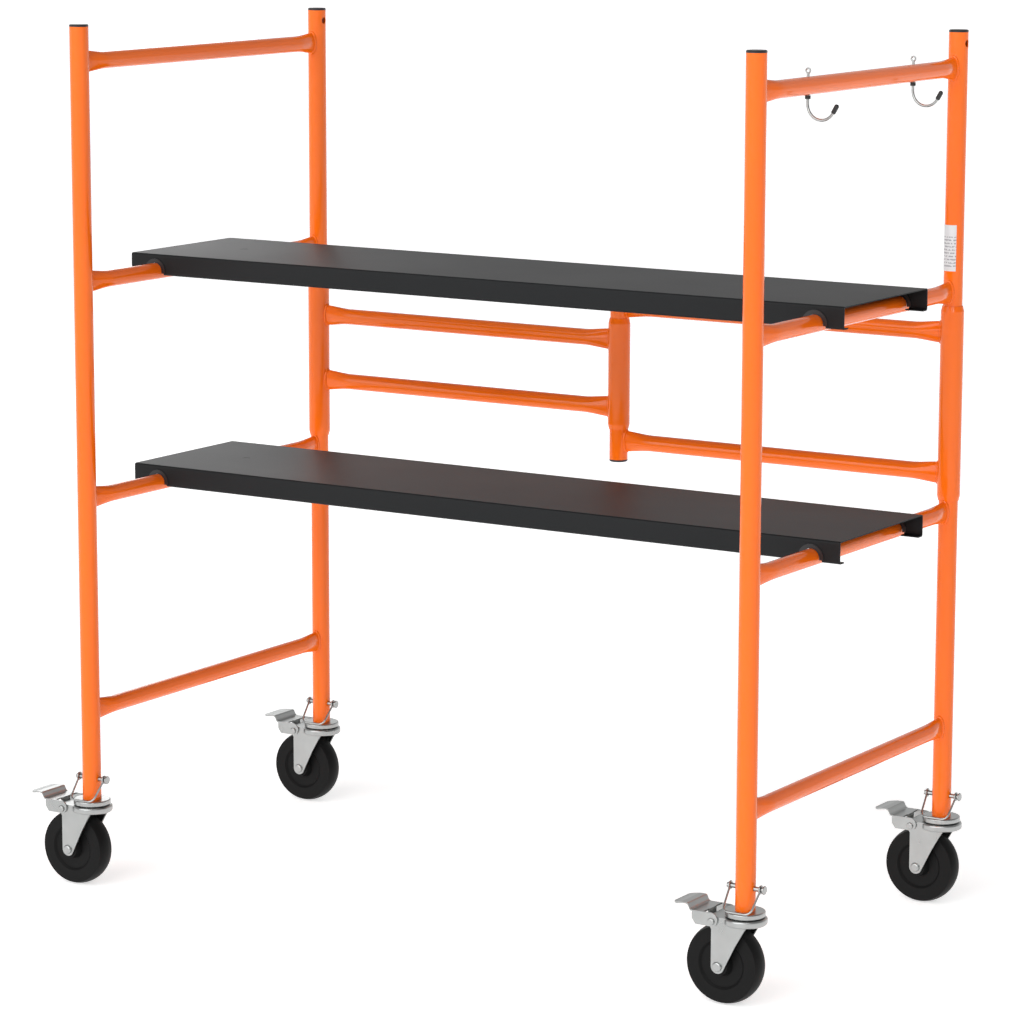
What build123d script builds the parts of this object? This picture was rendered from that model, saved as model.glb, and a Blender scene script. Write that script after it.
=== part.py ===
from build123d import *
import math
import os

# Baker scaffold: two welded end frames, a pair of folding leaves that join them at the rear,
# two lift-off steel decks that sit on the rungs, and four braked swivel casters.
# Millimetres, +Z up, X along the decks, +Y towards the folding leaves.
# The origin is on the floor, under the middle of the whole scaffold's box.

# End frames
post_length = 1038.0
frame_spacing = 1008.0
post_spacing = 540.0
post_diameter = 25.4
post_wall = 1.65
bottom_rung_height = 122.0
top_rail_drop = 46.0
rung_diameter = 22.2
rung_wall = 1.5
flat_height = 29.0
flat_width = 10.4
flare_length = 46.0
flare_sections = 5
cap_rim = 3.0
cap_insert = 8.5
cap_chamfer = 1.0
stack_hole_diameter = 9.5
stack_hole_drop = 14.5

# Folding leaves
sleeve_wall = 2.2
sleeve_lip = 0.6
sleeve_swage = 7.0
sleeve_end_play = 3.7
outer_rail_inset = 35.5
inner_rail_inset = 30.0
centre_post_overhang = 26.0
leaf_rail_gap = 1.5

# Decks. The rise is from the rung's top to the deck's top, the skirt from the rung's axis down to
# the flange's lower edge.
deck_width = 228.0
deck_overhang = 40.0
deck_rise = 11.9
deck_skirt = 5.5
deck_sheet = 1.5
deck_bend = 3.0
deck_lip = 12.0
saddle_wall = 2.5
saddle_wing = 3.0
saddle_grip = 1.1
lift_off_play = 1.0
latch_reach = 66.0
latch_width = 25.0
latch_sheet = 3.0
latch_tip = 16.0
latch_step = 15.0
latch_bolt_diameter = 6.0
latch_head_diameter = 10.0
latch_head_sink = 0.2
latch_nut_width = 10.0
latch_nut_height = 5.0

# Caster: stem, swivel races, fork and wheel. Heights are measured down from the post's bottom.
stem_length = 62.0
race_diameter = 50.0
race_height = 7.0
race_round = 1.5
swivel_gap = 1.0
crown_diameter = 55.0
crown_height = 9.0
crown_round = 2.5
kingpin_diameter = 12.0
kingpin_head_diameter = 18.0
kingpin_head_height = 2.4
ball_circle = 34.0
ball_diameter = 4.0
ball_count = 14
fork_width = 44.0
fork_sheet = 2.5
fork_front = 13.0
fork_back = 40.0
fork_shoulder = 8.0
fork_waist = (-2.0, 25.0)
fork_foot_radius = 9.0
wheel_diameter = 101.6
wheel_width = 25.4
wheel_crown = 3.0
wheel_ring_diameter = 63.0
wheel_web_recess = 3.0
wheel_hub_diameter = 24.0
wheel_gap = 2.4
axle_trail = 26.0
axle_diameter = 8.0
axle_head_diameter = 12.5
axle_head_height = 3.2
axle_head_round = 2.4
axle_nut_width = 13.0
axle_nut_height = 5.3

# Brake pedal, measured from the swivel axis
pedal_pivot_reach = 34.0
pedal_pivot_drop = 6.0
pedal_rivet_diameter = 5.0
pedal_rivet_head_diameter = 9.0
pedal_rivet_head_height = 2.0
pedal_rivet_round = 1.4
pedal_sheet = 2.0
pedal_cheek_end = 61.0
pedal_cheek_depth = 17.0
pedal_cheek_toe = 10.2
pedal_web_length = 15.0
pedal_step = 5.0
pedal_rise = 5.5
pedal_reach = 89.0
pedal_corner = 9.0
pedal_tongue_reach = 47.0
pedal_tongue_width = 18.0
pedal_tongue_gap = 4.4

# Caster pin and its wire bail
pin_height = 28.5
pin_diameter = 6.0
pin_head_diameter = 11.0
pin_head_height = 2.0
pin_head_round = 0.8
pin_stand_off = 12.3
pin_hole_play = 0.3
bail_wire = 2.6
bail_depth = 36.0
bail_bottom_half = 19.0
bail_corner = 9.0
bail_eye_room = 8.3

# Tool hooks on the right top rail, and the label on the right rear post
hook_spacing = 282.0
hook_wire = 3.6
hook_eye_radius = 2.9
hook_eye_wire = 2.2
hook_eye_height = 7.0
hook_drop = 22.0
hook_radius = 18.5
hook_turn = 150.0
hook_tip_length = 9.0
hook_tip_diameter = 5.8
hook_tip_cover = 6.0
hook_collar_diameter = 7.0
hook_collar_height = 4.3
label_rise = 28.0
label_height = 60.0
label_width = 26.0
label_sheet = 0.3
label_facing = -110.0

# Clearances
weld_gap = 0.15
hinge_clearance = 0.3
running_fit = 0.1
insert_fit = 0.05
seat_gap = 0.3

# Places worked out from the sizes above
post_radius = post_diameter / 2
post_bore = post_radius - post_wall
rung_radius = rung_diameter / 2
rung_pitch = (post_length - top_rail_drop - bottom_rung_height) / 3
wheel_radius = wheel_diameter / 2
crown_top = -(race_height + swivel_gap)
crown_bottom = crown_top - crown_height
axle_z = crown_bottom - wheel_gap - wheel_radius
floor_drop = wheel_radius - axle_z
sleeve_bore = post_radius + hinge_clearance
sleeve_radius = sleeve_bore + sleeve_wall
sleeve_length = rung_pitch - flat_height - seat_gap - sleeve_end_play
outer_rail_offset = sleeve_length / 2 - outer_rail_inset
centre_sleeve_half = outer_rail_offset - flat_height / 2 - leaf_rail_gap
inner_rail_offset = centre_sleeve_half - inner_rail_inset
centre_post_half = outer_rail_offset + centre_post_overhang
hook_end_angle = math.radians(hook_turn - 180)
hook_reach = (hook_radius * (1 + math.cos(hook_end_angle))
              - hook_tip_length * math.sin(hook_end_angle) + hook_tip_diameter / 2)

half_spacing = frame_spacing / 2
middle_x = (pedal_reach - hook_reach) / 2
left_x = middle_x - half_spacing
right_x = middle_x + half_spacing
front_y = -post_spacing / 2
rear_y = post_spacing / 2
post_bottom = floor_drop
rung_heights = [post_bottom + bottom_rung_height + i * rung_pitch for i in range(4)]
lower_rung_z = rung_heights[1]
upper_rung_z = rung_heights[2]
top_rail_z = rung_heights[3]
sleeve_bottom = lower_rung_z + flat_height / 2 + seat_gap
leaf_z = sleeve_bottom + sleeve_length / 2

STANDING = (Align.CENTER, Align.CENTER, Align.MIN)


def bar_z(radius, bottom, top, x=0.0, y=0.0):
    """Round bar along Z."""
    return Pos(x, y, bottom) * Cylinder(radius, top - bottom, align=STANDING)


def bar_x(radius, start, stop, y=0.0, z=0.0):
    """Round bar along X."""
    return Pos(start, y, z) * Rot(0, 90, 0) * Cylinder(radius, stop - start, align=STANDING)


def bar_y(radius, start, stop, x=0.0, z=0.0):
    """Round bar along Y."""
    return Pos(x, start, z) * Rot(-90, 0, 0) * Cylinder(radius, stop - start, align=STANDING)


def plate_y(face, start, stop):
    """Flat plate from an outline drawn in X and Z, between two places on Y."""
    return Pos(0, stop, 0) * extrude(Plane.XZ * face, stop - start, dir=(0, -1, 0))


def hex_y(width, start, stop, x=0.0, z=0.0):
    """Hexagon bar along Y, given across its flats."""
    return Pos(x, 0, z) * plate_y(RegularPolygon(width / 2, 6, major_radius=False), start, stop)


def hex_z(width, bottom, top, x=0.0, y=0.0):
    """Hexagon bar along Z, given across its flats."""
    return Pos(x, y, bottom) * extrude(RegularPolygon(width / 2, 6, major_radius=False), top - bottom)


def box_between(low, high):
    """Box between two corners."""
    size = [b - a for a, b in zip(low, high)]
    centre = [(a + b) / 2 for a, b in zip(low, high)]
    return Pos(*centre) * Box(*size)


# Tubes with pressed ends: every rung, top rail and leaf rail


def flared_end(inset, start):
    """Pressed end of a tube along X: tall and narrow at start, then smoothly round after the flare."""
    sections = []
    for step in range(flare_sections):
        share = step / (flare_sections - 1)
        blend = share * share * (3 - 2 * share)
        tall = flat_height / 2 + (rung_radius - flat_height / 2) * blend - inset
        narrow = flat_width / 2 + (rung_radius - flat_width / 2) * blend - inset
        plane = Plane(origin=(start + flare_length * share, 0, 0), x_dir=(0, 0, 1), z_dir=(1, 0, 0))
        sections.append(plane * Ellipse(tall, narrow))
    return loft(sections)


def pressed_bar(inset, start, end):
    """Solid of a tube's outside along X, or of its bore when inset is the wall."""
    first = flared_end(inset, start)
    last = Rot(0, 0, 180) * flared_end(inset, -end)
    middle = bar_x(rung_radius - inset, start + flare_length, end - flare_length)
    return first + middle + last


def pressed_tube(span, start_radius, end_radius):
    """Tube along X from one upright's axis to another's, its pressed ends coped to fit them."""
    start = start_radius - flat_width / 2
    end = span - end_radius + flat_width / 2
    tube = pressed_bar(0, start, end) - pressed_bar(rung_wall, start, end)
    for x, radius in ((0, start_radius), (span, end_radius)):
        tube -= bar_z(radius + weld_gap, -flat_height, flat_height, x)
    return tube


# End frames


def post(with_stack_hole):
    """Post standing on its caster, with the caster pin's hole and, at the rear, the stacking hole."""
    tube = bar_z(post_radius, 0, post_length) - bar_z(post_bore, 0, post_length)
    tube -= bar_x(pin_diameter / 2 + pin_hole_play, -post_diameter, post_diameter, z=pin_height)
    if with_stack_hole:
        hole_z = post_length - stack_hole_drop
        tube -= bar_x(stack_hole_diameter / 2, -post_diameter, post_diameter, z=hole_z)
    return tube


def tube_cap(bore):
    """Plastic cap that stands on a tube's upper end, with its insert pointing down the bore."""
    rim = bar_z(post_radius, 0, cap_rim)
    rim = chamfer(rim.edges().sort_by(Axis.Z)[-1], cap_chamfer)
    insert = bar_z(bore - insert_fit, -cap_insert, 0)
    insert = chamfer(insert.edges().sort_by(Axis.Z)[0], cap_chamfer)
    return rim + insert


rung_tube = Pos(0, front_y, 0) * Rot(0, 0, 90) * pressed_tube(post_spacing, post_radius, post_radius)


def end_frame(side, x):
    """Posts, rungs and caps of one end frame."""
    parts = {
        f"{side}_front_post": Pos(x, front_y, post_bottom) * post(False),
        f"{side}_rear_post": Pos(x, rear_y, post_bottom) * post(True),
    }
    rung_names = ("bottom_rung", "lower_rung", "upper_rung", "top_rail")
    for name, height in zip(rung_names, rung_heights):
        parts[f"{side}_{name}"] = Pos(x, 0, height) * rung_tube
    top = post_bottom + post_length
    caps = [Pos(x, y, top) * tube_cap(post_bore) for y in (front_y, rear_y)]
    parts[f"{side}_post_caps"] = Compound(caps)
    return parts


# Folding leaves: each rear post carries a sleeve, and the two leaves meet at the centre hinge


def hinge_sleeve(half_length):
    """Sleeve that turns on a post, its ends swaged in to a thin lip."""
    shoulder = half_length - sleeve_swage
    lip = sleeve_bore + sleeve_lip
    outline = Polygon(
        (sleeve_bore, -half_length), (lip, -half_length), (sleeve_radius, -shoulder),
        (sleeve_radius, shoulder), (lip, half_length), (sleeve_bore, half_length), align=None)
    return revolve(Plane.XZ * outline, Axis.Z)


def leaf_rails(start_x, start_radius, end_radius, offset):
    """Upper and lower rail of one leaf, along X from start_x."""
    rail = pressed_tube(half_spacing, start_radius, end_radius)
    return [Pos(start_x, rear_y, leaf_z + z) * rail for z in (offset, -offset)]


def left_leaf():
    """Leaf that turns on the left rear post and carries the centre sleeve."""
    upper, lower = leaf_rails(left_x, sleeve_radius, sleeve_radius, inner_rail_offset)
    return {
        "left_post_sleeve": Pos(left_x, rear_y, leaf_z) * hinge_sleeve(sleeve_length / 2),
        "left_leaf_upper_rail": upper,
        "left_leaf_lower_rail": lower,
        "centre_sleeve": Pos(middle_x, rear_y, leaf_z) * hinge_sleeve(centre_sleeve_half),
    }


def right_leaf():
    """Leaf that carries the centre post and turns on the right rear post."""
    upper, lower = leaf_rails(middle_x, post_radius, sleeve_radius, outer_rail_offset)
    centre = bar_z(post_radius, -centre_post_half, centre_post_half)
    centre -= bar_z(post_bore, -centre_post_half, centre_post_half)
    top_cap = Pos(0, 0, centre_post_half) * tube_cap(post_bore)
    bottom_cap = Pos(0, 0, -centre_post_half) * Rot(180, 0, 0) * tube_cap(post_bore)
    place = Pos(middle_x, rear_y, leaf_z)
    return {
        "centre_post": place * centre,
        "centre_post_caps": Compound([place * top_cap, place * bottom_cap]),
        "right_leaf_upper_rail": upper,
        "right_leaf_lower_rail": lower,
        "right_post_sleeve": Pos(right_x, rear_y, leaf_z) * hinge_sleeve(sleeve_length / 2),
    }


# Decks: pressed sheet channels, notched over the rungs. Heights are from the rung's axis.
notch_radius = rung_radius + seat_gap + saddle_wall
deck_top = rung_radius + deck_rise
deck_underside = deck_top - deck_sheet
deck_bottom = -deck_skirt
deck_depth = deck_top - deck_bottom
latch_top = deck_underside - seat_gap
latch_hook_top = -rung_radius - seat_gap - running_fit
latch_x = left_x + latch_reach
latch_bolt_radius = latch_bolt_diameter / 2
latch_head_radius = latch_head_diameter / 2
latch_cone_height = deck_sheet - latch_head_sink


def arch(radius, play, bottom):
    """Outline of a rung seat: a half circle set lower by play, and straight sides down to bottom."""
    side = radius + play
    half = Circle(side) & Pos(0, side / 2) * Rectangle(2 * side, side)
    return Pos(0, -play) * half + Pos(0, (bottom - play) / 2) * Rectangle(2 * side, -bottom - play)


def deck_channel():
    """Sheet channel with lipped flanges along X, centred on the rungs, before its notches are cut."""
    outer = RectangleRounded(deck_width, deck_depth, deck_bend)
    inner = RectangleRounded(deck_width - 2 * deck_sheet, deck_depth - 2 * deck_sheet, deck_bend - deck_sheet)
    slot = Rectangle(deck_width - 2 * deck_lip, 2 * deck_bend)
    section = outer - inner - Pos(0, -deck_depth / 2) * slot
    length = frame_spacing + 2 * deck_overhang
    start = left_x - deck_overhang
    return Pos(start, 0, (deck_top + deck_bottom) / 2) * extrude(Plane.YZ * section, length)


def deck():
    """Deck with a close seat over the left rung, a looser one over the right, and the latch's hole."""
    sheet = deck_channel()
    for x, play in ((left_x, 0.0), (right_x, lift_off_play)):
        outline = arch(notch_radius, play, deck_bottom - deck_sheet)
        sheet -= Pos(x, 0, 0) * plate_y(outline, -deck_width, deck_width)
    slope = (latch_head_radius - latch_bolt_radius) / latch_cone_height
    mouth = latch_bolt_radius + running_fit + slope * deck_sheet
    countersink = Cone(latch_bolt_radius + running_fit, mouth, deck_sheet, align=STANDING)
    return sheet - Pos(latch_x, 0, deck_underside) * countersink


def saddle(play, side):
    """Plastic seat pushed on the edge of a flange's notch; side is -1 at the front, 1 at the rear."""
    bottom = deck_bottom + deck_bend + running_fit
    flange = deck_width / 2
    outside = flange + running_fit + saddle_grip
    inside = flange - deck_sheet - running_fit - saddle_grip
    seat = arch(rung_radius + seat_gap, play, deck_bottom)
    core = arch(notch_radius - running_fit, play, bottom) - seat
    wing = arch(notch_radius + saddle_wing, play, bottom) - seat
    solid = plate_y(core, inside, outside)
    solid += plate_y(wing, inside, inside + saddle_grip)
    solid += plate_y(wing, outside - saddle_grip, outside)
    return solid if side > 0 else mirror(solid, Plane.XZ)


def latch():
    """Stepped strap that turns on the deck's bolt and hooks under the left rung."""
    step_x = -latch_reach + latch_step
    tip_x = -latch_reach - latch_tip
    end_x = latch_width / 2
    arm = Polygon(
        (end_x, latch_top), (step_x, latch_top), (step_x, latch_hook_top), (tip_x, latch_hook_top),
        (tip_x, latch_hook_top - latch_sheet), (step_x + latch_sheet, latch_hook_top - latch_sheet),
        (step_x + latch_sheet, latch_top - latch_sheet), (end_x, latch_top - latch_sheet), align=None)
    strap = plate_y(arm, -latch_width / 2, latch_width / 2)
    plan_length = end_x - tip_x
    plan = Pos((end_x + tip_x) / 2, 0) * SlotOverall(plan_length, latch_width)
    strap &= Pos(0, 0, latch_hook_top - latch_sheet) * extrude(plan, latch_top - latch_hook_top + latch_sheet)
    strap -= bar_z(latch_bolt_radius + running_fit, latch_top - latch_sheet, latch_top)
    return Pos(latch_x, 0, 0) * strap


def latch_fasteners():
    """Countersunk bolt through the deck and latch, its head just under the deck's top, and its nut."""
    nut_top = latch_top - latch_sheet - seat_gap
    nut_bottom = nut_top - latch_nut_height
    cone = Cone(latch_bolt_radius, latch_head_radius, latch_cone_height, align=STANDING)
    bolt = Pos(0, 0, deck_underside) * cone + bar_z(latch_bolt_radius, nut_bottom, deck_underside)
    nut = hex_z(latch_nut_width, nut_bottom, nut_top)
    nut -= bar_z(latch_bolt_radius + insert_fit, nut_bottom, nut_top)
    return Compound([Pos(latch_x, 0, 0) * bolt, Pos(latch_x, 0, 0) * nut])


def deck_parts():
    """One deck with its saddles, latch and bolt, with the rung's axis at height 0."""
    saddles = [
        Pos(x, 0, 0) * saddle(play, side)
        for x, play in ((left_x, 0.0), (right_x, lift_off_play)) for side in (-1, 1)]
    return {
        "deck": deck(),
        "deck_saddles": Compound(saddles),
        "deck_latch": latch(),
        "deck_latch_bolt": latch_fasteners(),
    }


# Casters, drawn about the swivel axis with the post's bottom at height 0 and the wheel trailing to -X
fork_inside = fork_width / 2 - fork_sheet
fork_outside = fork_width / 2
pivot_x = -pedal_pivot_reach
pivot_z = crown_top - pedal_pivot_drop
cheek_inside = fork_outside + seat_gap
cheek_outside = cheek_inside + pedal_sheet
ball_z = (crown_top - race_height) / 2


def caster_stem():
    """Stem with its cross hole, the upper race, and the kingpin whose head holds the fork up."""
    stem = bar_z(post_bore - running_fit, 0, stem_length)
    stem = chamfer(stem.edges().sort_by(Axis.Z)[-1], cap_chamfer)
    race = bar_z(race_diameter / 2, -race_height, 0)
    race = fillet(race.edges().filter_by(GeomType.CIRCLE), race_round)
    head_top = crown_bottom - running_fit
    kingpin = bar_z(kingpin_diameter / 2, head_top, 0)
    head = bar_z(kingpin_head_diameter / 2, head_top - kingpin_head_height, head_top)
    cross_hole = bar_x(pin_diameter / 2 + pin_hole_play, -post_radius, post_radius, z=pin_height)
    groove = Pos(0, 0, ball_z) * Torus(ball_circle / 2, ball_diameter / 2 + running_fit)
    return stem + race + kingpin + head - cross_hole - groove


def swivel_balls():
    """Ring of bearing balls between the upper race and the fork's crown."""
    turn = 360 / ball_count
    return [
        Rot(0, 0, i * turn) * Pos(ball_circle / 2, 0, ball_z) * Sphere(ball_diameter / 2)
        for i in range(ball_count)]


def fork():
    """Pressed fork: the lower race, a top plate, and two legs down to the axle."""
    crown = bar_z(crown_diameter / 2, crown_bottom, crown_top)
    crown = fillet(crown.edges().filter_by(GeomType.CIRCLE), crown_round)
    top_plate = box_between(
        (-fork_back, -fork_outside, crown_top - fork_sheet), (fork_front, fork_outside, crown_top))
    waist_x = fork_waist[0]
    waist_z = crown_bottom - fork_waist[1]
    across = waist_x + axle_trail
    up = waist_z - axle_z
    touch = math.atan2(up, across) - math.acos(fork_foot_radius / math.hypot(across, up))
    touch_x = -axle_trail + fork_foot_radius * math.cos(touch)
    touch_z = axle_z + fork_foot_radius * math.sin(touch)
    back_x = -axle_trail - fork_foot_radius
    shoulder_z = crown_top - 2 * fork_shoulder
    leg = Polygon(
        (-fork_back, crown_top), (fork_front, crown_top), (fork_front, crown_top - fork_shoulder),
        (waist_x, waist_z), (touch_x, touch_z), (-axle_trail, axle_z), (back_x, axle_z),
        (back_x, shoulder_z), (-fork_back, crown_top - fork_shoulder), align=None)
    leg += Pos(-axle_trail, axle_z) * Circle(fork_foot_radius)
    body = crown + top_plate
    for start in (-fork_outside, fork_inside):
        body += plate_y(leg, start, start + fork_sheet)
    body -= bar_z(kingpin_diameter / 2 + running_fit, crown_bottom, crown_top)
    body -= bar_y(axle_diameter / 2 + running_fit, -fork_width, fork_width, -axle_trail, axle_z)
    body -= bar_y(pedal_rivet_diameter / 2 + running_fit, -fork_width, fork_width, pivot_x, pivot_z)
    return body - Pos(0, 0, ball_z) * Torus(ball_circle / 2, ball_diameter / 2 + running_fit)


def wheel():
    """Moulded wheel: crowned tread, ring step and web on each side, and a hub between the fork's legs."""
    half = wheel_width / 2
    shoulder = wheel_radius - wheel_crown
    ring = wheel_ring_diameter / 2
    hub = wheel_hub_diameter / 2
    hub_half = fork_inside - seat_gap
    bore = axle_diameter / 2 + running_fit
    web = half - wheel_web_recess
    side = [(half, shoulder), (half, ring), (web, ring - wheel_web_recess), (web, hub + wheel_web_recess),
            (hub_half, hub), (hub_half, bore)]
    other_side = [(-w, r) for w, r in reversed(side)]
    outline = Polyline(*side, *other_side) + ThreePointArc(other_side[-1], (0, wheel_radius), side[0])
    profile = make_face(Plane.YZ * outline)
    return Pos(-axle_trail, 0, axle_z) * revolve(profile, Axis.Y)


def axle_fasteners():
    """Round-headed axle bolt, its nut, and the rivet that the brake pedal turns on."""
    nut_end = fork_outside + axle_nut_height
    head_end = -fork_outside - axle_head_height
    head = bar_y(axle_head_diameter / 2, head_end, -fork_outside, -axle_trail, axle_z)
    head = fillet(head.edges().filter_by(GeomType.CIRCLE).sort_by(Axis.Y)[0], axle_head_round)
    bolt = head + bar_y(axle_diameter / 2, -fork_outside, nut_end, -axle_trail, axle_z)
    nut = hex_y(axle_nut_width, fork_outside, nut_end, -axle_trail, axle_z)
    nut -= bar_y(axle_diameter / 2 + insert_fit, fork_outside, nut_end, -axle_trail, axle_z)
    rivet_end = cheek_outside + seat_gap
    rivet = bar_y(pedal_rivet_diameter / 2, -rivet_end, rivet_end, pivot_x, pivot_z)
    for side in (-1, 1):
        ends = sorted((side * rivet_end, side * (rivet_end + pedal_rivet_head_height)))
        head = bar_y(pedal_rivet_head_diameter / 2, *ends, pivot_x, pivot_z)
        rim = head.edges().filter_by(GeomType.CIRCLE).sort_by(Axis.Y)[-1 if side > 0 else 0]
        rivet += fillet(rim, pedal_rivet_round)
    return [bolt, nut, rivet]


def brake_pedal():
    """Pressed pedal: two cheeks on the rivet, the web between them, the tread, and the brake tongue."""
    top = crown_top + pedal_rivet_head_diameter / 2 + seat_gap
    cheek = Polygon(
        (pivot_x, top), (-pedal_cheek_end, top), (-pedal_cheek_end, top - pedal_cheek_toe),
        (-pedal_cheek_end + pedal_step, top - pedal_cheek_depth), (pivot_x, top - pedal_cheek_depth),
        align=None)
    cheek += Pos(pivot_x, top - pedal_cheek_depth / 2) * Circle(pedal_cheek_depth / 2)
    pedal = plate_y(cheek, cheek_inside, cheek_outside) + plate_y(cheek, -cheek_outside, -cheek_inside)
    web_x = -pedal_cheek_end + pedal_web_length
    tread_x = -pedal_cheek_end - pedal_step
    end_x = -pedal_reach
    rise = top + pedal_rise
    upper = Spline(
        (-pedal_cheek_end, top), (tread_x, rise), (end_x, rise + pedal_sheet / 2),
        tangents=((-1, 0.1), (-1, 0)))
    lower = Pos(0, -pedal_sheet) * upper
    sheet = make_face(
        upper + Line((end_x, rise + pedal_sheet / 2), (end_x, rise - pedal_sheet / 2))
        + lower + Line((-pedal_cheek_end, top - pedal_sheet), (-pedal_cheek_end, top)))
    tread = plate_y(sheet, -cheek_outside, cheek_outside)
    plan_length = pedal_reach - pedal_cheek_end + 2 * pedal_corner
    plan = RectangleRounded(plan_length, 2 * cheek_outside, pedal_corner)
    tread &= Pos(end_x + plan_length / 2, 0, 0) * extrude(plan, 2 * rise, both=True)
    pedal += tread
    pedal += box_between((-pedal_cheek_end, -cheek_outside, top - pedal_sheet), (web_x, cheek_outside, top))
    reach = axle_trail - pedal_tongue_reach
    wheel_top = axle_z + math.sqrt(wheel_radius ** 2 - reach ** 2)
    half = pedal_tongue_width / 2
    pedal += box_between(
        (-pedal_tongue_reach, -half, wheel_top + pedal_tongue_gap),
        (-pedal_tongue_reach + pedal_sheet, half, top))
    return pedal - bar_y(pedal_rivet_diameter / 2 + running_fit, -fork_width, fork_width, pivot_x, pivot_z)


def caster_pin():
    """Cross pin that holds the stem in the post, with its round head outside."""
    head_x = post_radius + pin_stand_off
    pin = bar_x(pin_diameter / 2, -head_x, head_x + pin_head_height, z=pin_height)
    head = bar_x(pin_head_diameter / 2, head_x, head_x + pin_head_height, z=pin_height)
    return pin + fillet(head.edges().filter_by(GeomType.CIRCLE), pin_head_round)


bail_tilt = math.degrees(math.acos((pin_height - bail_wire / 2 - seat_gap) / bail_depth))


def pin_bail():
    """Spring wire bail with an eye on each end of the pin, resting on the upper race in front."""
    eye_x = post_radius + bail_eye_room
    eye_radius = pin_diameter / 2 + running_fit + bail_wire / 2
    path = FilletPolyline(
        (eye_x, 0, -eye_radius), (bail_bottom_half, 0, -bail_depth), (-bail_bottom_half, 0, -bail_depth),
        (-eye_x, 0, -eye_radius), radius=bail_corner)
    section = Plane(origin=path @ 0, z_dir=path % 0) * Circle(bail_wire / 2)
    wire = sweep(section, path)
    for x in (-eye_x, eye_x):
        wire += Pos(x, 0, 0) * Rot(0, 90, 0) * Torus(eye_radius, bail_wire / 2)
    return Pos(0, 0, pin_height) * Rot(-bail_tilt, 0, 0) * wire


def caster_parts():
    """Everything on one caster that turns with it, and its bail."""
    return {
        "fork": fork(),
        "axle_fasteners": Compound(axle_fasteners()),
        "wheel": wheel(),
        "brake_pedal": brake_pedal(),
        "pin_bail": pin_bail(),
    }


# Tool hooks and label


hook_end_x = hook_radius * (1 + math.cos(hook_end_angle))
hook_end_z = -hook_drop + hook_radius * math.sin(hook_end_angle)


def tool_hook():
    """Wire hook hung through the top rail at height 0: an eye above, and a J that opens outwards."""
    eye_z = rung_radius + hook_eye_height
    inside_tip_x = hook_end_x - hook_tip_cover * math.sin(hook_end_angle)
    inside_tip_z = hook_end_z + hook_tip_cover * math.cos(hook_end_angle)
    path = Plane.XZ * (
        Line((0, eye_z - hook_eye_radius), (0, -hook_drop))
        + CenterArc((hook_radius, -hook_drop), hook_radius, 180, hook_turn)
        + Line((hook_end_x, hook_end_z), (inside_tip_x, inside_tip_z)))
    section = Pos(0, 0, eye_z - hook_eye_radius) * Circle(hook_wire / 2)
    wire = sweep(section, path)
    return wire + Pos(0, 0, eye_z) * Rot(90, 0, 0) * Torus(hook_eye_radius, hook_eye_wire / 2)


def hook_tip():
    """Plastic tip pushed over the end of a hook."""
    tip = bar_z(hook_tip_diameter / 2, 0, hook_tip_length) + Pos(0, 0, hook_tip_length) * Sphere(
        hook_tip_diameter / 2)
    tip -= bar_z(hook_wire / 2 + insert_fit, 0, hook_tip_cover + insert_fit)
    return Pos(hook_end_x, 0, hook_end_z) * Rot(0, -math.degrees(hook_end_angle), 0) * tip


def hook_collar():
    """Plastic collar round a hook, just under the rail."""
    top = -rung_radius - seat_gap
    collar = bar_z(hook_collar_diameter / 2, top - hook_collar_height, top)
    return collar - bar_z(hook_wire / 2 + insert_fit, top - hook_collar_height, top)


def rating_label():
    """Plain label wrapped on the right rear post, above the upper rung."""
    turn = math.degrees(label_width / post_radius)
    ring = bar_z(post_radius + label_sheet, 0, label_height) - bar_z(post_radius, 0, label_height)
    wedge = Polygon(
        (0, 0), *[
            (2 * post_diameter * math.cos(math.radians(a)), 2 * post_diameter * math.sin(math.radians(a)))
            for a in (label_facing - turn / 2, label_facing, label_facing + turn / 2)], align=None)
    label = ring & extrude(wedge, label_height)
    return Pos(right_x, rear_y, upper_rung_z + label_rise) * label


# Assembly
nodes = {}
nodes.update(end_frame("left", left_x))
nodes.update(end_frame("right", right_x))
nodes.update(left_leaf())
nodes.update(right_leaf())

for y in (-hook_spacing / 2, hook_spacing / 2):
    hole = bar_z(hook_wire / 2 + running_fit, -rung_diameter, rung_diameter, 0, y)
    nodes["right_top_rail"] -= Pos(right_x, 0, top_rail_z) * hole
hook_places = [Pos(right_x, y, top_rail_z) for y in (-hook_spacing / 2, hook_spacing / 2)]
nodes["tool_hooks"] = Compound([place * tool_hook() for place in hook_places])
nodes["hook_tips_and_collars"] = Compound(
    [place * piece for place in hook_places for piece in (hook_tip(), hook_collar())])
nodes["rating_label"] = rating_label()

for level, height in (("lower", lower_rung_z), ("upper", upper_rung_z)):
    for name, piece in deck_parts().items():
        nodes[f"{level}_{name}"] = Pos(0, 0, height) * piece

stem = caster_stem()
pin = caster_pin()
balls = swivel_balls()
for side, x in (("left", left_x), ("right", right_x)):
    feet = [Pos(x, y, post_bottom) for y in (front_y, rear_y)]
    nodes[f"{side}_caster_stems"] = Compound([foot * stem for foot in feet])
    nodes[f"{side}_caster_pins"] = Compound([foot * pin for foot in feet])
    nodes[f"{side}_swivel_balls"] = Compound([foot * ball for foot in feet for ball in balls])

caster_pieces = caster_parts()
for end, y in (("front", front_y), ("rear", rear_y)):
    for side, x in (("left", left_x), ("right", right_x)):
        for name, piece in caster_pieces.items():
            nodes[f"{end}_{side}_{name}"] = Pos(x, y, post_bottom) * piece

if __name__ == "__main__":
    os.makedirs("parts", exist_ok=True)
    for name, shape in nodes.items():
        export_step(shape, f"parts/{name}.step")
    print(len(nodes), "nodes")
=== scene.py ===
import math

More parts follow.
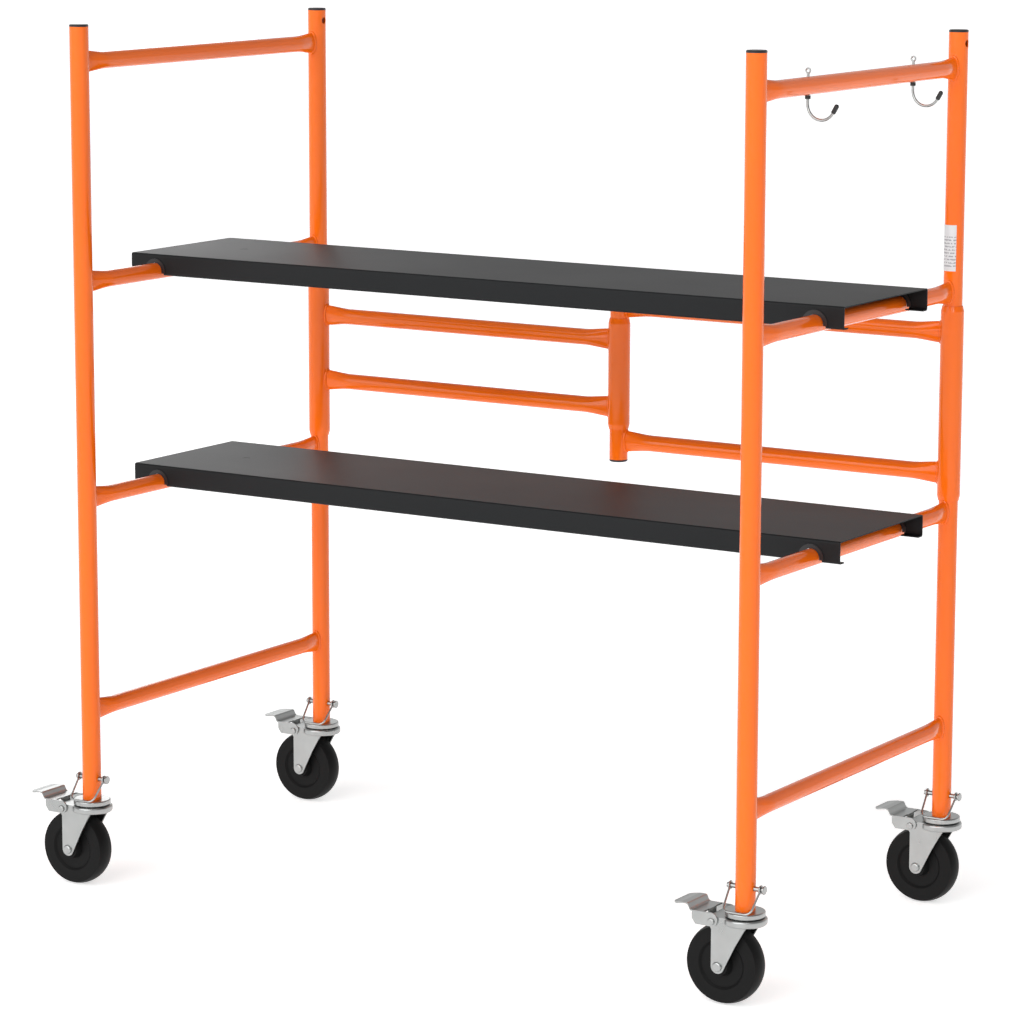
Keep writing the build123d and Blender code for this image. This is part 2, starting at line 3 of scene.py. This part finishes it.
import bpy
import numpy as np
from mathutils import Matrix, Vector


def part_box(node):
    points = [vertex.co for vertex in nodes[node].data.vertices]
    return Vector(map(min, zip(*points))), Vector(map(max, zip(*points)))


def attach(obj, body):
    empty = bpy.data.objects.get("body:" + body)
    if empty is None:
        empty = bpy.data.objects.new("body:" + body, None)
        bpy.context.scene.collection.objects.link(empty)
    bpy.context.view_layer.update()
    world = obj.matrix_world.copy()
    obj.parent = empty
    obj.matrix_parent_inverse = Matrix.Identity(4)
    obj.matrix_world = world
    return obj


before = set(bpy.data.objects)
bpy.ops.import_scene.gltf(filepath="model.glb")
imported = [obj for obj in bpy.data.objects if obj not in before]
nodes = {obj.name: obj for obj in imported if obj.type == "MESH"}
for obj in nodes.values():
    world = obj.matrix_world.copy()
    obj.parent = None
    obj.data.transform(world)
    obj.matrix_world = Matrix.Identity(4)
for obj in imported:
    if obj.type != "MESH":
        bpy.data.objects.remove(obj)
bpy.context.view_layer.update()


# ---------------------------------------------------------------------------------------------
# The studio: a long lens at the front right, a pale seamless floor, and large soft lights.
# The surround is dim overhead and bright in front, so glossy tubes show clear bands.
# ---------------------------------------------------------------------------------------------

camera_place = (2.7116, -4.2650, 1.4281)
camera_yaw = 32.254
camera_pitch = 10.176
camera_roll = 0.128
camera_lens = 135.88

camera = bpy.data.objects.new("camera", bpy.data.cameras.new("camera"))
camera.data.lens = camera_lens
camera.data.sensor_width = 36.0
camera.data.clip_end = 200.0
camera.matrix_world = (
    Matrix.Translation(camera_place)
    @ Matrix.Rotation(math.radians(camera_yaw), 4, "Z")
    @ Matrix.Rotation(math.radians(90 - camera_pitch), 4, "X")
    @ Matrix.Rotation(math.radians(camera_roll), 4, "Z"))
bpy.context.scene.collection.objects.link(camera)
bpy.context.scene.camera = camera
bpy.context.scene.view_settings.view_transform = "Standard"


def add(tree, kind, options=None, **inputs):
    """Adds a shader node. Options are its settings; each named input takes a socket or a value."""
    made = tree.nodes.new("ShaderNode" + kind)
    for option, value in (options or {}).items():
        setattr(made, option, value)
    for name, value in inputs.items():
        plug(tree, made.inputs[name.replace("_", " ")], value)
    return made


def plug(tree, socket, value):
    """Links another node's socket to this one, or sets its value."""
    if isinstance(value, bpy.types.NodeSocket):
        tree.links.new(value, socket)
    else:
        socket.default_value = value


def calculate(tree, operation, first, second=0.0):
    """Math node on one or two values."""
    made = tree.nodes.new("ShaderNodeMath")
    made.operation = operation
    plug(tree, made.inputs[0], first)
    plug(tree, made.inputs[1], second)
    return made.outputs["Value"]


def blend_colours(tree, share, first, second):
    """Mix of two colours by a share from 0 to 1."""
    made = tree.nodes.new("ShaderNodeMix")
    made.data_type = "RGBA"
    plug(tree, made.inputs["Factor"], share)
    plug(tree, made.inputs[6], first)
    plug(tree, made.inputs[7], second)
    return made.outputs[2]


def new_finish(name, **constants):
    """Material of one Principled shader, its constants set on the shader's own sockets."""
    finish = bpy.data.materials.new(name)
    finish.use_nodes = True
    tree = finish.node_tree
    shader = tree.nodes["Principled BSDF"]
    for socket, value in constants.items():
        shader.inputs[socket.replace("_", " ")].default_value = value
    return finish, tree, shader


def new_piece(name, points, faces):
    """Mesh object with smooth faces, standing where its points are."""
    mesh = bpy.data.meshes.new(name)
    mesh.from_pydata(points.reshape(-1, 3).tolist(), [], faces.tolist())
    mesh.polygons.foreach_set("use_smooth", np.ones(len(faces), bool))
    mesh.update()
    piece = bpy.data.objects.new(name, mesh)
    bpy.context.scene.collection.objects.link(piece)
    return piece


def grid_faces(rows, columns, closed_rows=False, closed_columns=False):
    """Quads of a rows by columns grid of points, joined round where a direction is closed."""
    i = np.arange(rows if closed_rows else rows - 1)[:, None]
    j = np.arange(columns if closed_columns else columns - 1)[None, :]
    below, right = (i + 1) % rows, (j + 1) % columns
    corners = [i * columns + j, below * columns + j, below * columns + right, i * columns + right]
    return np.stack([np.broadcast_to(c, (i.size, j.size)) for c in corners], axis=-1).reshape(-1, 4)


floor_half = 70.0
floor_steps = 15
floor_line = np.linspace(-floor_half, floor_half, floor_steps)
floor_x, floor_y = np.meshgrid(floor_line, floor_line, indexing="ij")
floor_points = np.stack([floor_x, floor_y, np.zeros_like(floor_x)], axis=-1)
studio_floor = new_piece("studio_floor", floor_points, grid_faces(floor_steps, floor_steps))

floor_finish, tree, shader = new_finish(
    "studio_paper", Roughness=0.9, Specular_IOR_Level=0.1, Emission_Strength=0.62)
place = add(tree, "TexCoord").outputs["Object"]
paper = add(tree, "TexNoise", Vector=place, Scale=2.0, Detail=2.0).outputs["Fac"]
paper = blend_colours(tree, paper, (0.90, 0.90, 0.90, 1), (0.93, 0.93, 0.93, 1))
plug(tree, shader.inputs["Base Color"], paper)
plug(tree, shader.inputs["Emission Color"], paper)
studio_floor.data.materials.append(floor_finish)

world = bpy.data.worlds.new("studio_surround")
bpy.context.scene.world = world
world.use_nodes = True
tree = world.node_tree


def fade(tree, value, start, end):
    """Smooth step of a value from 0 at start to 1 at end."""
    return add(tree, "MapRange", {"interpolation_type": "SMOOTHSTEP"}, Value=value,
               From_Min=start, From_Max=end, To_Min=0.0, To_Max=1.0).outputs["Result"]


def facing(tree, direction, aim):
    """Cosine between a direction and a fixed aim."""
    made = add(tree, "VectorMath", {"operation": "DOT_PRODUCT"})
    plug(tree, made.inputs[0], direction)
    plug(tree, made.inputs[1], tuple(np.array(aim) / np.linalg.norm(aim)))
    return made.outputs["Value"]


ceiling_glow = 0.28
wall_glow = 0.42
softbox_glow = 2.5
softbox_aim = (-0.10, -0.90, 0.42)
softbox_edge = (0.76, 0.94)
wall_edge = (-0.2, 0.6)
wall_top = (0.70, 0.30)
wall_aim = (-math.sin(math.radians(camera_yaw)), math.cos(math.radians(camera_yaw)), 0.0)
direction = add(tree, "TexCoord").outputs["Generated"]
height = add(tree, "SeparateXYZ", Vector=direction).outputs["Z"]
wall = calculate(tree, "MULTIPLY", fade(tree, facing(tree, direction, wall_aim), *wall_edge),
                 fade(tree, height, *wall_top))
softbox = fade(tree, facing(tree, direction, softbox_aim), *softbox_edge)
glow = calculate(tree, "ADD", calculate(tree, "MULTIPLY", wall, wall_glow),
                 calculate(tree, "MULTIPLY", softbox, softbox_glow))
glow = calculate(tree, "ADD", glow, ceiling_glow)
seen = add(tree, "LightPath").outputs["Is Camera Ray"]
surround = tree.nodes["Background"]
surround.inputs["Color"].default_value = (1.0, 1.0, 1.0, 1.0)
plug(tree, surround.inputs["Strength"], calculate(tree, "MAXIMUM", glow, seen))

light_aim = (0.0, 0.0, 0.55)
for name, place, size, power in (
        ("strip_light", (3.4, -3.6, 2.9), 0.8, 24.0),
        ("back_light", (-3.8, 3.6, 2.0), 1.4, 14.0)):
    lamp = bpy.data.lights.new(name, "AREA")
    lamp.size = size
    lamp.energy = power
    holder = bpy.data.objects.new(name, lamp)
    holder.location = place
    aim = np.subtract(light_aim, place)
    holder.rotation_euler = (
        math.atan2(math.hypot(aim[0], aim[1]), -aim[2]), 0.0, math.atan2(-aim[0], aim[1]))
    bpy.context.scene.collection.objects.link(holder)


# ---------------------------------------------------------------------------------------------
# End frames and folding leaves: welded steel tube in glossy orange powder coat. The coat lies
# thick and slightly rippled over tube and weld alike, in a tone that drifts along each tube.
# ---------------------------------------------------------------------------------------------

def new_group(name, inputs, outputs):
    """Shader node group with float inputs and float outputs; returns it and its two end nodes."""
    group = bpy.data.node_groups.new(name, "ShaderNodeTree")
    for socket, value in inputs.items():
        made = group.interface.new_socket(socket, in_out="INPUT", socket_type="NodeSocketFloat")
        made.default_value = value
    for socket in outputs:
        group.interface.new_socket(socket, in_out="OUTPUT", socket_type="NodeSocketFloat")
    return group, group.nodes.new("NodeGroupInput"), group.nodes.new("NodeGroupOutput")


# Coat skin: ripples of the cured coat, and a slow change of tone.
coat_skin, given, result = new_group(
    "coat_skin", {"Ripple Scale": 300.0, "Tone Scale": 6.0}, ("Height", "Tone"))
place = add(coat_skin, "TexCoord").outputs["Object"]
ripple = add(coat_skin, "TexNoise", Vector=place, Scale=given.outputs["Ripple Scale"], Detail=1.5)
tone = add(coat_skin, "TexNoise", Vector=place, Scale=given.outputs["Tone Scale"], Detail=3.0)
plug(coat_skin, result.inputs["Height"], ripple.outputs["Fac"])
plug(coat_skin, result.inputs["Tone"], tone.outputs["Fac"])


def use_group(tree, group, **inputs):
    """Places a node group in a material with its own values."""
    made = tree.nodes.new("ShaderNodeGroup")
    made.node_tree = group
    for name, value in inputs.items():
        plug(tree, made.inputs[name.replace("_", " ")], value)
    return made.outputs


def toned(tree, skin, first, second):
    """Colour that drifts from first to second with the skin's tone."""
    return blend_colours(tree, skin["Tone"], (*first, 1.0), (*second, 1.0))


def drift(tree, skin, low, high):
    """Value that drifts from low to high with the skin's tone."""
    return add(tree, "MapRange", Value=skin["Tone"], To_Min=low, To_Max=high).outputs["Result"]


def dress(slot, finish):
    """Puts a finish on every CAD node surface that holds the record's material slot."""
    for node in nodes.values():
        for held in node.material_slots:
            if held.material.name == slot:
                held.material = finish


orange_finish, tree, shader = new_finish(
    "orange_powder_coat_finish", IOR=1.5, Specular_IOR_Level=0.3, Coat_Weight=0.25,
    Coat_Roughness=0.08)
skin = use_group(tree, coat_skin, Ripple_Scale=260.0, Tone_Scale=5.0)
plug(tree, shader.inputs["Base Color"],
     toned(tree, skin, (0.93, 0.142, 0.004), (0.97, 0.172, 0.005)))
plug(tree, shader.inputs["Roughness"], drift(tree, skin, 0.11, 0.17))
bump = add(tree, "Bump", Height=skin["Height"], Strength=0.25, Distance=0.0002)
plug(tree, shader.inputs["Normal"], bump.outputs["Normal"])

dress("orange_powder_coat", orange_finish)

weld_steps = 72
weld_round = 12
weld_radius = 0.0021
weld_ripple = 0.10
weld_ripples = 26


def weld_bead(name, centre, along, upright_radius, half_height, half_width):
    """Bead round the end of a pressed tube where it meets an upright.

    The path is the ellipse of the tube's end laid on the upright: across = w cos t, up = h sin t,
    out = sqrt(R^2 - across^2). The bead is a round of radius r(1 + k |sin n t|) about that path,
    in the plane of the tube's outward normal and the tube's own direction.
    """
    t = np.linspace(0, 2 * np.pi, weld_steps, endpoint=False)[:, None]
    f = np.linspace(0, 2 * np.pi, weld_round, endpoint=False)[None, :]
    across, up = half_width * np.cos(t), half_height * np.sin(t)
    out = np.sqrt(upright_radius ** 2 - across ** 2)
    normal = np.hypot(np.cos(t) / half_width, np.sin(t) / half_height)
    normal_across, normal_up = np.cos(t) / half_width / normal, np.sin(t) / half_height / normal
    r = weld_radius * (1 + weld_ripple * np.abs(np.sin(weld_ripples * t / 2)))
    across = across + r * np.cos(f) * normal_across
    up = up + r * np.cos(f) * normal_up
    out = out + r * np.sin(f)
    side = np.array((-along[1], along[0], 0.0))
    points = (np.array(centre) + out[..., None] * np.array(along) + across[..., None] * side
              + up[..., None] * np.array((0.0, 0.0, 1.0)))
    piece = new_piece(name, points, grid_faces(weld_steps, weld_round, True, True))
    piece.data.materials.append(orange_finish)
    return piece


def middle(node):
    """Middle of a CAD node's box."""
    low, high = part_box(node)
    return (low + high) / 2


def size_of(node):
    """Size of a CAD node's box."""
    low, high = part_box(node)
    return high - low


pressed_half_width = 0.0052
post_radius = size_of("left_front_post").x / 2
for side in ("left", "right"):
    for rung in ("bottom_rung", "lower_rung", "upper_rung", "top_rail"):
        level = middle(f"{side}_{rung}")
        half_height = size_of(f"{side}_{rung}").z / 2
        for end, turn in (("front", 1.0), ("rear", -1.0)):
            post = middle(f"{side}_{end}_post")
            bead = weld_bead(
                f"{side}_{end}_{rung}_weld", (post.x, post.y, level.z), (0.0, turn, 0.0),
                post_radius, half_height, pressed_half_width)
            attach(bead, f"{side}_frame")

sleeve_radius = size_of("centre_sleeve").x / 2
centre_radius = size_of("centre_post").x / 2
leaf_welds = (
    ("left_leaf", "upper_rail", "left_post_sleeve", sleeve_radius, 1.0),
    ("left_leaf", "lower_rail", "left_post_sleeve", sleeve_radius, 1.0),
    ("left_leaf", "upper_rail", "centre_sleeve", sleeve_radius, -1.0),
    ("left_leaf", "lower_rail", "centre_sleeve", sleeve_radius, -1.0),
    ("right_leaf", "upper_rail", "centre_post", centre_radius, 1.0),
    ("right_leaf", "lower_rail", "centre_post", centre_radius, 1.0),
    ("right_leaf", "upper_rail", "right_post_sleeve", sleeve_radius, -1.0),
    ("right_leaf", "lower_rail", "right_post_sleeve", sleeve_radius, -1.0))
for leaf, rail, upright, radius, turn in leaf_welds:
    level = middle(f"{leaf}_{rail}")
    stand = middle(upright)
    half_height = size_of(f"{leaf}_{rail}").z / 2
    bead = weld_bead(f"{leaf}_{rail}_{upright}_weld", (stand.x, stand.y, level.z), (turn, 0.0, 0.0),
                     radius, half_height, pressed_half_width)
    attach(bead, leaf)


# ---------------------------------------------------------------------------------------------
# Decks: pressed steel sheet in satin black powder coat, finer in grain than the tubes' coat. The
# latch bolt under each deck is countersunk from above, so its head shows as a black dot.
# ---------------------------------------------------------------------------------------------

deck_finish, tree, shader = new_finish(
    "deck_powder_coat_finish", IOR=1.5, Specular_IOR_Level=0.17)
skin = use_group(tree, coat_skin, Ripple_Scale=900.0, Tone_Scale=4.0)
plug(tree, shader.inputs["Base Color"],
     toned(tree, skin, (0.009, 0.010, 0.011), (0.013, 0.014, 0.015)))
plug(tree, shader.inputs["Roughness"], drift(tree, skin, 0.42, 0.50))
bump = add(tree, "Bump", Height=skin["Height"], Strength=0.35, Distance=0.00015)
plug(tree, shader.inputs["Normal"], bump.outputs["Normal"])
dress("deck_powder_coat", deck_finish)
for deck in ("upper", "lower"):
    for held in nodes[f"{deck}_deck_latch_bolt"].material_slots:
        held.material = deck_finish


# ---------------------------------------------------------------------------------------------
# Casters and small metal: pressed forks, pedals, stems, pins, straps and wire hooks are bright
# zinc plate that clouds unevenly. The bearing balls are polished steel.
# ---------------------------------------------------------------------------------------------

zinc_finish, tree, shader = new_finish("zinc_plate_finish", Metallic=1.0)
skin = use_group(tree, coat_skin, Tone_Scale=40.0)
plug(tree, shader.inputs["Base Color"],
     toned(tree, skin, (0.38, 0.39, 0.385), (0.48, 0.49, 0.485)))
plug(tree, shader.inputs["Roughness"], drift(tree, skin, 0.22, 0.38))
dress("zinc_plate", zinc_finish)

steel_finish, tree, shader = new_finish("bearing_steel_finish", Metallic=1.0, Roughness=0.15)
skin = use_group(tree, coat_skin)
plug(tree, shader.inputs["Base Color"],
     toned(tree, skin, (0.55, 0.55, 0.55), (0.62, 0.62, 0.62)))
dress("bearing_steel", steel_finish)


# ---------------------------------------------------------------------------------------------
# Wheels and black plastic: the wheels are one hard black moulding, slightly matt. Post caps,
# deck saddles, hook collars and hook tips are moulded plastic, pushed on or into the steel.
# ---------------------------------------------------------------------------------------------

plastic_finish, tree, shader = new_finish("black_plastic_finish", Roughness=0.4)
skin = use_group(tree, coat_skin)
plug(tree, shader.inputs["Base Color"],
     toned(tree, skin, (0.010, 0.010, 0.011), (0.016, 0.016, 0.017)))
dress("black_plastic", plastic_finish)

wheel_finish, tree, shader = new_finish(
    "black_wheel_finish", IOR=1.48, Specular_IOR_Level=0.12)
skin = use_group(tree, coat_skin, Tone_Scale=30.0)
plug(tree, shader.inputs["Base Color"],
     toned(tree, skin, (0.006, 0.006, 0.006), (0.009, 0.009, 0.009)))
plug(tree, shader.inputs["Roughness"], drift(tree, skin, 0.42, 0.55))
dress("black_wheel", wheel_finish)


# ---------------------------------------------------------------------------------------------
# Rating label: a white vinyl sticker wrapped on the right rear post. Its print is rows of broken
# grey strokes that stand for small type and spell nothing.
# ---------------------------------------------------------------------------------------------

label_low, label_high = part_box("rating_label")
label_row = 0.0042
label_row_inked = 0.45
label_margin = 0.005
label_heading = 0.015
stroke_scale = 420.0
stroke_gap = 0.46

label_finish, tree, shader = new_finish("label_vinyl_finish", Roughness=0.4)
skin = use_group(tree, coat_skin, Tone_Scale=60.0)
place = add(tree, "TexCoord").outputs["Object"]
level = add(tree, "SeparateXYZ", Vector=place).outputs["Z"]
row = calculate(tree, "FRACT", calculate(tree, "DIVIDE", level, label_row))
inked = calculate(tree, "LESS_THAN", row, label_row_inked)
inside = calculate(
    tree, "MULTIPLY", calculate(tree, "GREATER_THAN", level, label_low.z + label_margin),
    calculate(tree, "LESS_THAN", level, label_high.z - label_heading))
stroke = add(tree, "TexNoise", Vector=place, Scale=stroke_scale, Detail=0.0).outputs["Fac"]
inked = calculate(tree, "MULTIPLY", inked, inside)
inked = calculate(tree, "MULTIPLY", inked, calculate(tree, "GREATER_THAN", stroke, stroke_gap))
vinyl = toned(tree, skin, (0.66, 0.66, 0.67), (0.72, 0.72, 0.73))
plug(tree, shader.inputs["Base Color"], blend_colours(tree, inked, vinyl, (0.32, 0.32, 0.34, 1.0)))
dress("label_vinyl", label_finish)
